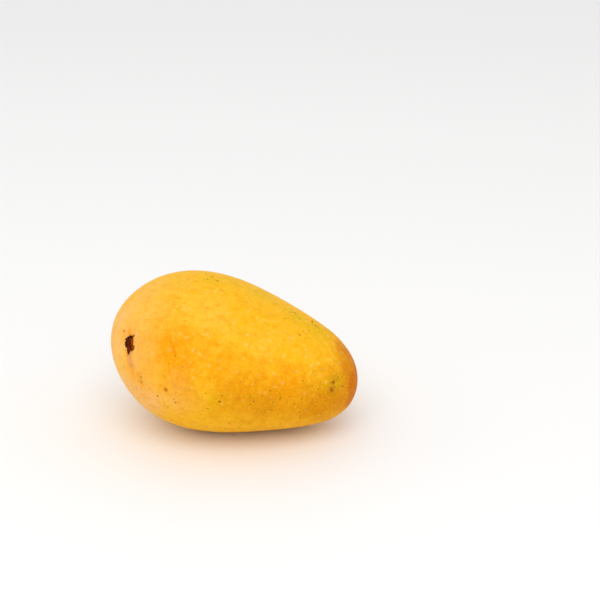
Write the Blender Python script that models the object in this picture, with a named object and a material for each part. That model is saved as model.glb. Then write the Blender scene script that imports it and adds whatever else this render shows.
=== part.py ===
"""A ripe yellow mango, picked, lying on its flatter cheek with the stub of its stalk still in the stalk cavity.

Metres, +Z up. The fruit lies along X with its stalk end at -X and its tip at +X; its belly, the side where
the stalk scar and the beak both show, faces -Y. The origin is under the middle of the fruit, on the surface
that it lies on.
"""

import math

import bmesh
import bpy
from mathutils import Matrix, Vector

# The fruit's main sizes. Its stone lies flat between the two cheeks, so it is wider than it is thick.
LENGTH = 0.106
HALF_WIDTH = 0.0386
HALF_THICKNESS = 0.0306

# How the width changes from the stalk end (-1) to the tip (+1), as shares of the size at mid length.
WIDTH_SLOPE = -0.24
WIDTH_CURVE = 0.02

# The same for the thickness: fullest a little behind the stalk end, slimmest short of the tip.
THICKNESS_SLOPE = -0.33
THICKNESS_CURVE = 0.06
THICKNESS_TURN = 0.31

# The kidney form: both ends bend towards the belly, and both end faces lean.
BEND = 0.0029
STALK_END_LEAN = -0.155
TIP_LEAN = -0.18
SAG = -0.0008
CHEEK_FULLNESS = -0.016

# The pose it comes to rest in, tip end low, on a small flat spot of its lower cheek.
REST_TILT = math.radians(11.7)
FLAT_SPOT_CUT = 0.0005

# Marks on the skin, as directions from the middle of the fruit: along it, towards the back, up.
STALK_DIRECTION = Vector((-0.880, -0.443, 0.170))
BEAK_DIRECTION = Vector((0.745, -0.636, 0.200))
SINUS_DIRECTION = Vector((0.600, -0.800, 0.050))

# The shallow cavity round the stalk, and the shoulders that swell round it.
CAVITY_DEPTH = 0.0021
CAVITY_RADIUS = 0.0068
SHOULDER_HEIGHT = 0.0005
SHOULDER_RADIUS = 0.0135
SHOULDER_SPREAD = 0.0060

# The beak, a low swelling with the style's scar on it, and the hollow beside it.
BEAK_HEIGHT = 0.0009
BEAK_RADIUS = 0.0050
BEAK_DIMPLE_DEPTH = 0.0004
BEAK_DIMPLE_RADIUS = 0.0016
SINUS_DEPTH = 0.0006
SINUS_RADIUS = 0.0090

# The stub of the stalk: a ragged plug in a socket of the same outline, fuller on its far side. It is torn longer
# in three places and shorter in one: each has its angle round the stalk from straight down the fruit, its spread
# and its length.
STUB_RADIUS = 0.00275
STUB_FULLNESS = 0.00042
STUB_FULL_SIDE = math.radians(-100)
STUB_TEARS = (
    (math.radians(32), math.radians(14), 0.00190),
    (math.radians(80), math.radians(24), 0.00180),
    (math.radians(170), math.radians(11), 0.00115),
    (math.radians(-8), math.radians(18), -0.00040),
)
STUB_STANDS_PROUD = 0.0010
STUB_RIM_UNEVEN = 0.00028
STUB_DISHED = 0.0006
SOCKET_DEPTH = 0.0018
GAP = 0.0003

# The mesh: rings round the stalk, close together in the cavity and wider apart over the rest of the skin.
SIDES = 76
FINE_STEP = 0.0009
COARSE_STEP = 0.0036
FINE_REACH = 0.0110
SKIN_PER_RADIAN = 0.0450
ROUND_RING_REACH = 0.0600
TRUE_RING_START = 0.0045
TRUE_RING_END = 0.0240
OUTLINE_RINGS = 5

SKIN_COLOUR = (0.95, 0.49, 0.035, 1.0)
SKIN_ROUGHNESS = 0.42
STUB_COLOUR = (0.10, 0.032, 0.010, 1.0)
STUB_ROUGHNESS = 0.85


def clear_scene():
    for old in list(bpy.data.objects):
        bpy.data.objects.remove(old, do_unlink=True)


def plain_material(name, colour, roughness):
    material = bpy.data.materials.new(name)
    material.use_nodes = True
    shader = material.node_tree.nodes["Principled BSDF"]
    shader.inputs["Base Color"].default_value = colour
    shader.inputs["Roughness"].default_value = roughness
    shader.inputs["Metallic"].default_value = 0.0
    return material


def fruit_point(direction):
    """The plain form of the fruit, without its marks, for a direction from its middle."""
    along, back, up = direction.normalized()
    width = HALF_WIDTH * (1 + WIDTH_SLOPE * along + WIDTH_CURVE * along**2)
    thickness = HALF_THICKNESS * (
        1 + THICKNESS_SLOPE * along + THICKNESS_CURVE * along**2 + THICKNESS_TURN * along**3
    )
    y = back * width
    z = up * thickness * (1 + CHEEK_FULLNESS * up)
    stalk_end = ((1 - along) / 2) ** 2
    tip_end = ((1 + along) / 2) ** 2
    x = along * LENGTH / 2 + y * (STALK_END_LEAN * stalk_end + TIP_LEAN * tip_end)
    y -= BEND * (along**2 - 1 / 3)
    z += SAG * (along**3 - 0.6 * along)
    return Vector((x, y, z))


def tangents(direction):
    """Two directions at right angles to this one: the first as near as it can be to straight down."""
    ahead = direction.normalized()
    down = (Vector((0, 0, -1)) + ahead * ahead.z).normalized()
    return down, ahead.cross(down)


def skin_slopes(direction):
    """How the skin moves when the direction turns along each of its two tangents, for each radian."""
    turn = 1e-4
    return [
        (fruit_point(direction + t * turn) - fruit_point(direction - t * turn)) / (2 * turn)
        for t in tangents(direction.normalized())
    ]


def skin_normal(direction):
    down, across = skin_slopes(direction)
    return down.cross(across).normalized()


def falloff(distance, radius):
    return math.exp(-((distance / radius) ** 2))


def blunt_falloff(distance, radius):
    return math.exp(-((distance / radius) ** 4))


def soft_step(value, start, end):
    """0 before the start, 1 after the end, and a smooth rise between them."""
    share = min(max((value - start) / (end - start), 0.0), 1.0)
    return share * share * (3 - 2 * share)


STALK_POINT = fruit_point(STALK_DIRECTION)
BEAK_POINT = fruit_point(BEAK_DIRECTION)
SINUS_POINT = fruit_point(SINUS_DIRECTION)
STALK_NORMAL = skin_normal(STALK_DIRECTION)


def relief(point):
    """How far the skin stands out from its plain form at a point of it, apart from the stalk cavity."""
    from_stalk = (point - STALK_POINT).length
    from_beak = (point - BEAK_POINT).length
    from_sinus = (point - SINUS_POINT).length
    height = SHOULDER_HEIGHT * falloff(from_stalk - SHOULDER_RADIUS, SHOULDER_SPREAD)
    height += BEAK_HEIGHT * falloff(from_beak, BEAK_RADIUS)
    height -= BEAK_DIMPLE_DEPTH * falloff(from_beak, BEAK_DIMPLE_RADIUS)
    height -= SINUS_DEPTH * falloff(from_sinus, SINUS_RADIUS)
    return height


def skin_point(direction):
    """The finished skin: the marks stand along its normal, and the cavity sinks straight down the stalk."""
    plain = fruit_point(direction)
    sunk = CAVITY_DEPTH * falloff((plain - STALK_POINT).length, CAVITY_RADIUS)
    return plain + skin_normal(direction) * relief(plain) - STALK_NORMAL * sunk


def stub_outline(angle):
    """The stub's radius at an angle round the stalk, 0 pointing down the fruit."""
    radius = STUB_RADIUS + STUB_FULLNESS * math.cos(angle - STUB_FULL_SIDE)
    for middle, spread, length in STUB_TEARS:
        radius += length * blunt_falloff(math.remainder(angle - middle, math.tau), spread)
    return radius


def stalk_frame():
    """The stalk's own axes: X down the fruit, Z out along the stalk."""
    down, _ = skin_slopes(STALK_DIRECTION)
    x_axis = (down - STALK_NORMAL * down.dot(STALK_NORMAL)).normalized()
    y_axis = STALK_NORMAL.cross(x_axis)
    axes = Matrix((x_axis, y_axis, STALK_NORMAL)).transposed()
    return Matrix.Translation(STALK_POINT) @ axes.to_4x4()


def ring_direction(distance, turn, frame, follow_outline):
    """The direction to a point of the ring at this distance over the skin, this far round it."""
    ahead = STALK_DIRECTION.normalized()
    down, across = tangents(ahead)
    slope_down, slope_across = skin_slopes(ahead)
    sideways = down * math.cos(turn) + across * math.sin(turn)
    round_ring = distance / (slope_down * math.cos(turn) + slope_across * math.sin(turn)).length
    even_ring = distance / SKIN_PER_RADIAN
    reach = round_ring + (even_ring - round_ring) * soft_step(distance, 0.0, ROUND_RING_REACH)
    near = 1 - soft_step(distance, TRUE_RING_START, TRUE_RING_END)
    if near > 0:
        to_stalk = frame.inverted()
        true_reach = reach
        for _ in range(5):
            place = to_stalk @ fruit_point(ahead * math.cos(true_reach) + sideways * math.sin(true_reach))
            outside = stub_outline(math.atan2(place.y, place.x)) - STUB_RADIUS
            true_reach *= (distance + outside * follow_outline) / math.hypot(place.x, place.y)
        reach += (true_reach - reach) * near
    return ahead * math.cos(reach) + sideways * math.sin(reach)


def ring_distances():
    """From the edge of the socket to the far side of the fruit."""
    distance = STUB_RADIUS + GAP
    step = FINE_STEP
    far_side = SKIN_PER_RADIAN * math.pi
    while distance < far_side - COARSE_STEP * 0.7:
        yield distance
        if distance > FINE_REACH:
            step = min(step * 1.35, COARSE_STEP)
        distance += step


def bridge(bm, ring, next_ring):
    """A strip of triangles between two rings, split the same way all round."""
    for i in range(len(ring)):
        j = (i + 1) % len(ring)
        bm.faces.new((ring[i], next_ring[i], next_ring[j]))
        bm.faces.new((ring[i], next_ring[j], ring[j]))


def close_with_fan(bm, ring, centre):
    middle = bm.verts.new(centre)
    for i in range(len(ring)):
        bm.faces.new((middle, ring[i], ring[(i + 1) % len(ring)]))


def mesh_from(bm, name):
    bmesh.ops.recalc_face_normals(bm, faces=bm.faces)
    mesh = bpy.data.meshes.new(name)
    bm.to_mesh(mesh)
    bm.free()
    mesh.shade_smooth()
    mesh.set_sharp_from_angle(angle=math.radians(40))
    return mesh


def fruit_mesh(frame, upright):
    """Skin and flesh in one solid, with the socket of the stalk and the flat spot that it lies on."""
    bm = bmesh.new()
    turns = [math.tau * i / SIDES for i in range(SIDES)]
    rings = []
    for number, distance in enumerate(ring_distances()):
        follow_outline = max(1 - number / OUTLINE_RINGS, 0.0)
        rings.append(
            [bm.verts.new(skin_point(ring_direction(distance, t, frame, follow_outline))) for t in turns]
        )
    socket_centre = STALK_POINT - STALK_NORMAL * (CAVITY_DEPTH + SOCKET_DEPTH)
    socket_floor = []
    for vertex in rings[0]:
        above_floor = (vertex.co - socket_centre).dot(STALK_NORMAL)
        socket_floor.append(bm.verts.new(vertex.co - STALK_NORMAL * above_floor))
    close_with_fan(bm, socket_floor, socket_centre)
    bridge(bm, socket_floor, rings[0])
    for ring, next_ring in zip(rings, rings[1:]):
        bridge(bm, ring, next_ring)
    close_with_fan(bm, rings[-1][::-1], skin_point(-STALK_DIRECTION))

    lowest = min((vertex.co for vertex in bm.verts), key=lambda co: co.dot(upright)).copy()
    cut = bmesh.ops.bisect_plane(
        bm,
        geom=bm.verts[:] + bm.edges[:] + bm.faces[:],
        plane_co=lowest + upright * FLAT_SPOT_CUT,
        plane_no=-upright,
        clear_outer=True,
    )
    edges = [item for item in cut["geom_cut"] if isinstance(item, bmesh.types.BMEdge)]
    bmesh.ops.contextual_create(bm, geom=edges)
    return mesh_from(bm, "mango_fruit")


def stub_mesh():
    """A short woody plug with a ragged rim and a dished, broken top. Its Z runs out along the stalk."""
    bm = bmesh.new()
    turns = [math.tau * i / SIDES for i in range(SIDES)]
    floor = -CAVITY_DEPTH
    bottom = floor - SOCKET_DEPTH + GAP
    top = floor + STUB_STANDS_PROUD

    def ring(share, height, uneven):
        made = []
        for turn in turns:
            radius = stub_outline(turn) * share
            ragged = math.sin(4 * turn + 0.4) + 0.8 * math.sin(7 * turn + 1.9)
            z = height + uneven * ragged
            made.append(bm.verts.new((radius * math.cos(turn), radius * math.sin(turn), z)))
        return made

    rings = [
        ring(0.93, bottom, 0.0),
        ring(1.0, floor - 0.25 * SOCKET_DEPTH, 0.0),
        ring(0.97, top - 0.0004, STUB_RIM_UNEVEN * 0.6),
        ring(0.80, top, STUB_RIM_UNEVEN),
        ring(0.55, top - STUB_DISHED * 0.6, STUB_RIM_UNEVEN * 0.7),
        ring(0.25, top - STUB_DISHED, STUB_RIM_UNEVEN * 0.3),
    ]
    close_with_fan(bm, rings[0], (0, 0, bottom))
    for lower, upper in zip(rings, rings[1:]):
        bridge(bm, lower, upper)
    close_with_fan(bm, rings[-1][::-1], (0, 0, top - STUB_DISHED * 0.8))
    return mesh_from(bm, "stalk_stub")


def add_object(name, mesh, material, parent):
    mesh.materials.append(material)
    made = bpy.data.objects.new(name, mesh)
    bpy.context.scene.collection.objects.link(made)
    made.parent = parent
    return made


def main():
    clear_scene()
    frame = stalk_frame()
    tilt = Matrix.Rotation(REST_TILT, 3, "Y")
    upright = tilt.inverted() @ Vector((0, 0, 1))

    rest = bpy.data.objects.new("mango_rest", None)
    bpy.context.scene.collection.objects.link(rest)
    rest.rotation_euler = (0, REST_TILT, 0)

    skin = plain_material("mango_skin", SKIN_COLOUR, SKIN_ROUGHNESS)
    wood = plain_material("dry_stalk", STUB_COLOUR, STUB_ROUGHNESS)
    fruit = add_object("mango_fruit", fruit_mesh(frame, upright), skin, rest)
    stub = add_object("stalk_stub", stub_mesh(), wood, rest)
    stub.matrix_local = frame

    corners = [tilt @ vertex.co for vertex in fruit.data.vertices]
    low = [min(corner[axis] for corner in corners) for axis in range(3)]
    high = [max(corner[axis] for corner in corners) for axis in range(3)]
    rest.location = (-(low[0] + high[0]) / 2, -(low[1] + high[1]) / 2, -low[2])


main()
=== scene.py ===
"""The finish of a ripe mango that lies on its cheek: its skin, the stub of its stalk and a plain studio."""

import math

import bmesh
import bpy
import numpy as np
from bpy.props import FloatProperty, FloatVectorProperty, IntProperty, PointerProperty
from mathutils import Euler, Matrix, Vector, noise
from mathutils.bvhtree import BVHTree


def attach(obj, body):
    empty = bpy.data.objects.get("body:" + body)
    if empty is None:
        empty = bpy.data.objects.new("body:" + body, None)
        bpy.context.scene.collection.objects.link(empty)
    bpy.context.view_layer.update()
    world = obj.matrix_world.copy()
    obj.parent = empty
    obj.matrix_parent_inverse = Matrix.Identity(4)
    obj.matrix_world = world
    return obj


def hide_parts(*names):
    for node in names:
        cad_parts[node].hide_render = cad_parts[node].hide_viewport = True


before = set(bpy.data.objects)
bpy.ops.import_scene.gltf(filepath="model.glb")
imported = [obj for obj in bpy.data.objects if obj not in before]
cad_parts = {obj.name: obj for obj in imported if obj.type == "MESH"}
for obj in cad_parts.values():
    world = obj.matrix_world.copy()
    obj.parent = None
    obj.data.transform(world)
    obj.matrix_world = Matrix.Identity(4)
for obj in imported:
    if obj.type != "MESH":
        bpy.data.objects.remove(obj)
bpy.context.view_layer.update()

bl_info = {
    "name": "Ripe mango",
    "version": (1, 0, 0),
    "blender": (4, 5, 0),
    "location": "3D View > Sidebar > Mango",
    "description": "Adds the skin and the stalk stub of a ripe mango, and a studio to show it in",
    "category": "Add Mesh",
}

# The fruit's form, in metres and shares, as its solid has it.
LENGTH = 0.106
HALF_WIDTH = 0.0386
HALF_THICKNESS = 0.0306
WIDTH_SLOPE = -0.24
WIDTH_CURVE = 0.02
THICKNESS_SLOPE = -0.33
THICKNESS_CURVE = 0.06
THICKNESS_TURN = 0.31
BEND = 0.0029
STALK_END_LEAN = -0.155
TIP_LEAN = -0.18
SAG = -0.0008
SAG_LEVEL = 0.6
CHEEK_FULLNESS = -0.016
REST_TILT = math.radians(11.7)
FLAT_SPOT_CUT = 0.0005

# Marks on the form, as directions from the middle of the fruit: along it, towards the back, up. The sinus is
# the hollow beside the beak.
STALK_DIRECTION = np.array((-0.880, -0.443, 0.170))
BEAK_DIRECTION = np.array((0.745, -0.636, 0.200))
SINUS_DIRECTION = np.array((0.600, -0.800, 0.050))

CAVITY_RADIUS = 0.0068
SHOULDER_HEIGHT = 0.0005
SHOULDER_RADIUS = 0.0135
SHOULDER_SPREAD = 0.0060
BEAK_RADIUS = 0.0050
BEAK_DIMPLE_DEPTH = 0.0004
BEAK_DIMPLE_RADIUS = 0.0016
SINUS_DEPTH = 0.0006
SINUS_RADIUS = 0.0090

# The stub's outline round the stalk: fuller on its far side, torn longer in three places and shorter in one.
# Each tear has its angle from straight down the fruit, its spread and its length.
STUB_FULLNESS = 0.00042
STUB_FULL_SIDE = math.radians(-100)
STUB_TEARS = (
    (math.radians(32), math.radians(14), 0.00190),
    (math.radians(80), math.radians(24), 0.00180),
    (math.radians(170), math.radians(11), 0.00115),
    (math.radians(-8), math.radians(18), -0.00040),
)

# The skin's mesh: rings round the stalk, close together in the cavity and wider apart over the rest.
SIDES = 340
FINE_STEP = 0.00022
COARSE_STEP = 0.00062
STEP_GROWTH = 1.08
LAST_GAP = 0.7
FINE_REACH = 0.0090
SKIN_PER_RADIAN = 0.0450
ROUND_RING_REACH = 0.0600
TRUE_RING_REACH = (0.0045, 0.0240)
RING_FITS = 5
OUTLINE_RINGS = 22

# The rounded lip where the skin turns down into the socket: how far each ring is from the stub, and how deep.
LIP = ((0.00004, 0.00110), (0.00004, 0.00060), (0.00008, 0.00030), (0.00017, 0.00011), (0.00031, 0.00003))

# Soft waves of the skin: the size of each kind, and its height as a share of the unevenness.
WAVES = ((0.024, 1.0), (0.011, 0.45), (0.0042, 0.14))

# How far each seed moves the modelled noise along x, y and z.
SEED_STEPS = (7.3, 3.1, 5.7)

# Small folds round the stalk: how many there are, how they wander, and where they rise and fade.
PUCKERS = 11
PUCKER_WANDER = 2.5
PUCKER_WANDERS = 3
FINE_PUCKERS = 19
FINE_PUCKER_TURN = 1.3
FINE_PUCKER_SHARE = 0.6
PUCKER_RISE = (0.0030, 0.0045)
PUCKER_FADE = (0.0045, 0.0105)

# The fold beside the stalk: its sway, its ends as shares of its length, its two sides and its reach.
FOLD_SWAY = 0.0004
FOLD_SWAY_TURN = 7
FOLD_START = (-0.25, 0.15)
FOLD_STOP = (0.70, 1.25)
FOLD_STEEP_SIDE = (-0.0006, 0.0005)
FOLD_SOFT_SIDE = (0.0005, 0.0080)
FOLD_REACH = 0.02

FURROW_RADIUS = 0.0022
FURROW_START = (0.1, 0.4)
FURROW_STOP = (0.7, 1.0)
SCRATCH_DEPTH = 0.00007
SCRATCH_RADIUS = 0.00055
SCRATCH_AT_ENDS = 0.4
SCRATCH_IN_MIDDLE = 0.6
BLISTER_RADIUS = 0.0008

# The stub's plug, in mm: how far it keeps inside its outline, how deep it goes, and how its top is dished.
PLUG_SIDES = 120
PLUG_INSET = 0.04
PLUG_DEPTH = 1.2
WALL_RINGS = 4
WALL_DROP = 0.35
INNERMOST_RING = 0.04
RIM_SHARE = 0.84
RIM_SPREAD = 0.16
RIM_RISE = 0.10
DISH_DEPTH = 0.95
RAGGED_DISH = 0.55
RAGGED_RIM = 0.45

# Unevenness of the stub, in mm: the size of its features, its height and its seed.
PITS = ((1.0, 0.70, 4), (0.45, 0.36, 5))
FRAYS = ((0.50, 0.07, 6), (0.22, 0.05, 7))

# Splinters on the rim and inside it: how far out they stand as a share, and their height and root in mm.
RIM_SPLINTERS = ((0.74, 0.93), (0.5, 1.1), 0.2)
INNER_SPLINTERS = ((0.05, 0.65), (0.5, 0.9), 0.9)
INNER_EVERY = 4
SPLINTER_THICKNESS = (0.13, 0.30)
SPLINTER_SIDES = 7
SPLINTER_LEAN = 0.30
SPLINTER_FOOT = 0.45
SPLINTER_TIP = 0.35
INNER_BASE = 1.3

# The photograph is this many pixels wide and high. Marks on the skin are placed by its pixels.
PHOTO_SIDE = 600
SENSOR_WIDTH = 36.0
TO_MM = 1000.0

SCRATCH_TOP = (170.7, 341.0)
SCRATCH_END = (175.8, 356.5)
FURROW_END = (142.0, 382.0)
FOLD_TOP = (134.4, 333.0)
FOLD_END = (133.8, 367.0)
BLISTER = (165.6, 389.8)

# Zones of colour: the middle of each, its radius in mm and how strong it is.
ORANGE_ZONES = (
    ((166, 352), 23.0, 0.68),
    ((190, 346), 15.0, 0.34),
    ((176, 374), 14.0, 0.30),
    ((238, 379), 18.0, 0.66),
    ((212, 360), 12.0, 0.36),
    ((285, 388), 17.0, 0.75),
    ((330, 374), 11.0, 0.14),
    ((190, 394), 13.0, 0.30),
)
# Duller amber skin low on the tip end, darkened further as painted shade along the lower side and towards the
# tip.
AMBER_AND_SHADE_ZONES = (
    ((324, 404), 19.0, 0.95),
    ((346, 354), 10.0, 0.55),
    ((337, 385), 8.0, 0.55),
    ((288, 406), 17.0, 0.50),
    ((246, 406), 19.0, 0.50),
    ((232, 390), 13.0, 0.28),
    ((183, 392), 13.0, 0.35),
    ((213, 408), 12.0, 0.35),
    ((262, 412), 14.0, 0.40),
)
# A riper deep orange tip, which also paints the shade that falls along the tip end's edge.
RIPE_TIP_AND_SHADE_ZONES = (
    ((354, 396), 14.0, 0.55),
    ((357, 373), 21.0, 0.62),
)
# Painted highlight: paler patches where the broad soft highlight falls on the upper side.
PAINTED_HIGHLIGHT_ZONES = (
    ((212, 308), 15.0, 0.60),
    ((182, 300), 13.0, 0.35),
    ((218, 328), 12.0, 0.45),
    ((264, 342), 14.0, 0.45),
)
# Waxy bloom at the stalk end with a painted sheen: the pale grazing reflection along that end's edge and low
# on its side.
BLOOM_AND_SHEEN_ZONES = (
    ((113, 350), 12.0, 0.75),
    ((118, 322), 13.0, 0.65),
    ((127, 384), 13.0, 0.60),
    ((148, 290), 15.0, 0.40),
    ((146, 404), 16.0, 0.75),
    ((150, 400), 13.0, 0.55),
    ((174, 402), 12.0, 0.40),
    ((182, 284), 12.0, 0.25),
)
# Peach skin round the stalk, darker in and beside the cavity as painted shade.
PEACH_AND_SHADE_ZONES = (
    ((129, 345), 10.0, 0.75),
    ((131, 362), 9.0, 0.60),
    ((134, 330), 9.0, 0.50),
    ((143, 345), 11.0, 0.50),
    ((140, 382), 12.0, 0.45),
    ((181, 392), 11.0, 0.40),
)
GREEN_ZONES = (
    ((320, 334), 11.0, 1.00),
    ((298, 318), 11.0, 1.05),
    ((318, 326), 6.0, 0.50),
    ((334, 386), 5.0, 0.60),
    ((262, 296), 12.0, 0.90),
    ((214, 279), 9.0, 0.95),
    ((238, 284), 9.0, 0.60),
    ((180, 281), 9.0, 0.45),
    ((337, 384), 7.5, 0.95),
    ((213, 401), 7.0, 0.80),
    ((241, 371), 4.0, 0.45),
    ((139, 376), 3.4, 0.75),
)

# Marks: the middle of each and its radius in mm.
OLIVE_MARKS = (
    ((318.6, 329.0), 0.55),
    ((309.0, 330.5), 0.50),
    ((285.0, 318.5), 0.50),
    ((277.0, 303.5), 0.55),
    ((299.8, 335.0), 0.65),
    ((303.0, 331.5), 0.50),
    ((212.4, 277.0), 0.85),
    ((207.5, 279.5), 0.55),
    ((338.5, 377.5), 0.50),
    ((341.0, 386.5), 0.45),
    ((328.5, 386.5), 0.45),
    ((205.6, 393.3), 0.48),
    ((211.6, 389.3), 0.32),
    ((140.9, 377.3), 0.52),
    ((138.2, 373.6), 0.46),
    ((136.6, 369.8), 0.32),
    ((178.4, 364.4), 0.34),
    ((168.9, 363.8), 0.32),
    ((175.0, 356.0), 0.38),
    ((216.2, 398.4), 0.34),
    ((262.7, 395.6), 0.50),
    ((280.8, 397.6), 0.55),
    ((294.6, 404.3), 0.58),
    ((135.4, 333.6), 0.30),
    ((247.5, 377.6), 0.30),
    ((303.2, 381.0), 0.44),
    ((269.0, 387.0), 0.28),
    ((320.5, 396.0), 0.30),
)
BROWN_MARKS = (
    ((150.4, 305.5), 0.36),
    ((312.0, 322.1), 0.75),
    ((312.8, 321.0), 0.75),
    ((217.8, 281.3), 0.60),
    ((175.1, 402.7), 0.55),
    ((219.4, 401.7), 0.72),
    ((189.5, 390.5), 0.30),
    ((215.7, 367.3), 0.28),
    ((289.0, 397.2), 0.42),
    ((333.3, 381.9), 0.48),
    ((331.6, 390.2), 0.60),
    ((238.0, 398.5), 0.26),
    ((270.5, 391.0), 0.42),
    ((301.5, 399.0), 0.46),
    ((312.0, 403.5), 0.46),
    ((318.0, 389.0), 0.42),
    ((254.0, 401.5), 0.48),
)
RUST_MARKS = (
    ((123.9, 331.0), 1.05),
    ((165.7, 389.7), 1.45),
    ((165.7, 389.7), 0.90),
    ((175.8, 392.0), 0.55),
    ((137.0, 337.2), 0.40),
    ((333.4, 382.6), 1.50),
    ((331.8, 389.4), 1.90),
    ((336.5, 380.0), 0.90),
    ((334.4, 387.2), 1.10),
    ((217.0, 280.6), 1.00),
    ((185.5, 391.0), 0.50),
    ((141.4, 381.4), 0.70),
    ((157.6, 395.4), 0.55),
)

# The darker hearts of the larger scars.
SCAR_MARKS = (
    ((165.7, 389.7), 1.15),
    ((157.8, 396.2), 0.62),
    ((123.9, 331.0), 0.70),
    ((333.3, 381.9), 0.95),
    ((331.7, 390.0), 1.20),
)

# Streaks: where each starts and ends, its half width in mm and its strength.
TAN_STREAKS = (
    ((130.0, 355.4), (131.0, 363.5), 2.5, 1.00),
    ((131.0, 363.0), (133.4, 368.0), 1.3, 0.60),
)
RUSTY_STREAKS = (
    ((129.8, 362.8), (132.4, 366.8), 0.45, 0.55),
    ((170.4, 340.2), (171.6, 343.4), 0.40, 0.60),
    ((140.4, 373.0), (141.6, 383.0), 1.0, 0.22),
    ((137.2, 334.5), (136.6, 339.5), 0.4, 0.55),
)
# The first two are the orange scratch; the rest are painted shade in and round the cavity, along the near
# side of the fold and down the furrow.
SCRATCH_AND_SHADE_STREAKS = (
    ((170.9, 341.5), (172.8, 347.0), 0.65, 1.10),
    ((172.6, 346.0), (175.6, 354.5), 0.95, 1.25),
    ((129.5, 330.5), (131.0, 336.0), 2.4, 0.85),
    ((124.5, 334.0), (123.0, 341.0), 2.4, 0.30),
    ((133.2, 338.0), (133.4, 366.0), 0.9, 0.40),
    ((126.4, 352.0), (128.6, 366.0), 1.8, 0.45),
    ((131.5, 367.0), (134.0, 377.0), 2.4, 0.50),
    ((137.0, 374.0), (141.8, 385.0), 2.1, 0.35),
)
OLIVE_STREAKS = (
    ((290.4, 312.1), (291.6, 312.3), 0.95, 0.45),
    ((294.2, 312.4), (295.6, 313.4), 1.10, 0.75),
    ((315.4, 325.6), (317.4, 327.2), 1.10, 0.65),
    ((329.5, 378.0), (337.5, 376.5), 1.10, 0.22),
    ((338.5, 379.0), (337.0, 391.0), 1.20, 0.22),
    ((328.5, 393.5), (334.5, 395.0), 1.00, 0.25),
    ((335.0, 378.0), (332.5, 391.5), 3.80, 0.26),
)
# The first is a painted highlight along the crest of the fold beside the stalk; the second is a small pale
# mark.
HIGHLIGHT_AND_PALE_STREAKS = (
    ((136.4, 333.0), (136.2, 366.0), 1.5, 0.80),
    ((129.3, 361.0), (129.7, 361.8), 0.5, 0.90),
)

# Noises over the skin: the size of their features, their detail and their roughness.
CLOUDS = (0.016, 4.0, 0.55)
PATCHES = (0.0065, 3.0, 0.60)
PATCHES_SHIFT = 1.9
MOTTLE = (0.0030, 4.0, 0.65)
GRAIN = (0.0010, 3.0, 0.65)
BROAD_PATCHES = (0.030, 3.0, 0.55)
BROAD_SHIFT = 6.3
MIDDLE = 0.5

# How edges wander: the size and detail of the noise that moves them, and how far it does.
ROUGH_EDGE = (0.0011, 3.0, 0.0011)
WIDE_EDGE = (0.010, 4.0, 0.016)

# Layers of colour over the gold, lowest first: their zones, how much clouds strengthen them, and what clouds,
# patches and mottling add to them.
ZONE_LAYERS = (
    ("bloom", BLOOM_AND_SHEEN_ZONES, 0.0, (0.0, 0.0, -0.5)),
    ("pale", PAINTED_HIGHLIGHT_ZONES, 0.0, (-0.5, 0.0, -1.0)),
    ("orange", ORANGE_ZONES, 0.0, (1.0, 0.9, 0.9)),
    ("amber", AMBER_AND_SHADE_ZONES, 0.0, (0.0, 0.0, 0.7)),
    ("deep", RIPE_TIP_AND_SHADE_ZONES, 1.6, (0.0, 0.0, 0.6)),
    ("peach_and_shade", PEACH_AND_SHADE_ZONES, 0.0, (0.0, 0.0, 0.3)),
)

# Where some layers lie besides their zones, by distance or by the broad patches, and how strong they are.
BACK_SIDE = (0.010, 0.024)
# Bloom round the stalk end, which also paints the sheen along that end.
BLOOM_AND_SHEEN_REACH = (0.034, 0.012)
BLOOM_AND_SHEEN_STRENGTH = 0.45
# Peach round the stalk, as painted shade in the cavity.
PEACH_AND_SHADE_REACH = (0.007, 0.003)
PEACH_AND_SHADE_STRENGTH = 0.5
# Deep orange towards the tip: a riper tip and painted shade along its edge.
RIPE_TIP_AND_SHADE_REACH = (0.030, 0.056)
RIPE_TIP_AND_SHADE_STRENGTH = 0.45
BACK_ORANGE = (0.50, 0.68)
BACK_ORANGE_STRENGTH = 0.75
BACK_GREEN = (0.47, 0.33)
BACK_GREEN_STRENGTH = 0.7
GREEN_MOTTLE = 1.4
GREEN_PATCHES = 0.6

# Grain and pores. Pores have the size of their cells, their radius as a share of it, which cells hold one and
# how far in they are soft.
RIPE_GRAIN = (0.50, 0.68)
LIGHT_GRAIN = (0.50, 0.32)
GRAIN_STRENGTH = 0.42
PALE_PORES = (0.0029, 0.40, (0.10, 0.75), 0.0)
PALE_STRENGTH = 0.42
FINE_PORES = (0.0017, 0.27, (0.30, 0.80), 0.0)
FINE_STRENGTH = 0.40
GREY_PORES = (0.0036, 0.16, (0.40, 0.60), 0.4)
GREY_STRENGTH = 0.60
DARK_PORES = (0.0028, 0.23, (0.40, 0.60), 0.4)
DARK_STRENGTH = 0.70
SPECKS = (0.0125, 0.050, (0.45, 0.55), 0.0)

# Pale pores show most on the upper side, away from the stalk and the tip, and dark ones low and in the green.
UPPER_SIDE = (0.024, 0.044)
UPPER_WAVER = 0.010
LEAST_BELOW = 0.20
OFF_STALK = (0.012, 0.040)
OFF_TIP = (0.054, 0.036)
LEAST_AT_ENDS = 0.4
LOWER_SIDE = (0.038, 0.018)
DARK_SHARE = 0.9

# Layers of streaks, lowest first: their softness, and how much the mottling breaks them up.
STREAK_LAYERS = (
    ("bloom", HIGHLIGHT_AND_PALE_STREAKS, 0.0, 0.6),
    ("flame", SCRATCH_AND_SHADE_STREAKS, 0.0, 0.8),
    ("tan", TAN_STREAKS, 0.3, 0.7),
    ("rust", RUSTY_STREAKS, 0.0, 0.8),
)
UNBROKEN = 0.5

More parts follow.
